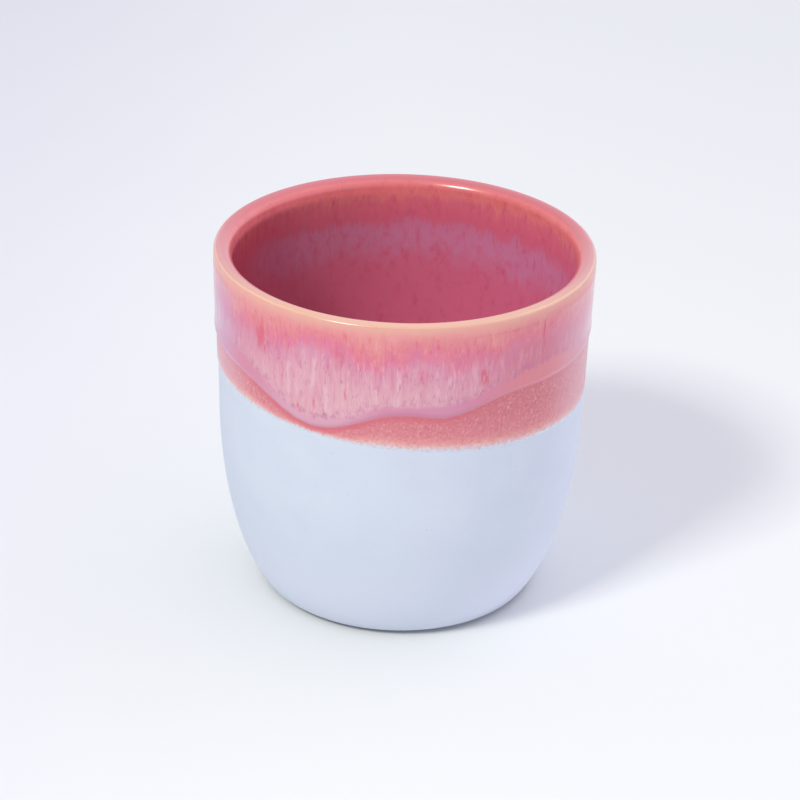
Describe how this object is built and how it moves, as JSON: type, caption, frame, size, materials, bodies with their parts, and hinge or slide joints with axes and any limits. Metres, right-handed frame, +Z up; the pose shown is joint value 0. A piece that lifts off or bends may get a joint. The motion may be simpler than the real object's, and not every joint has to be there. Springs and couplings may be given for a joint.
{
  "type": "handleless cup",
  "caption": "Handleless ceramic cup with an upright wall, a rounded belly, a small foot ring, a glazed inside and lip, and layered glaze bands outside.",
  "frame": {"origin": "centre of the foot ring's resting face, on the table", "axes": "+Z up along the cup's axis; -Y is the side with the deepest drip of the second coat, and the dip line slopes down towards +X"},
  "size_m": [0.0838, 0.0838, 0.0807],
  "materials": {
    "bare_clay": "matt fired clay, pale blue all through, unglazed",
    "liner_glaze": "glossy crimson-rose glaze with a streaked lilac band under the lip",
    "lip_glaze": "glossy glaze, thin on the lip, where it breaks to peach",
    "dip_glaze": "satin coral-pink glaze, finely speckled",
    "run_glaze": "glossy rose and white glaze, run in fine streaks, with a lilac rolled edge"
  },
  "bodies": {
    "root": {"clay_body": "bare_clay", "liner_glaze": "liner_glaze", "lip_glaze": "lip_glaze", "dip_glaze": "dip_glaze", "run_glaze": "run_glaze"}
  },
  "joints": []
}
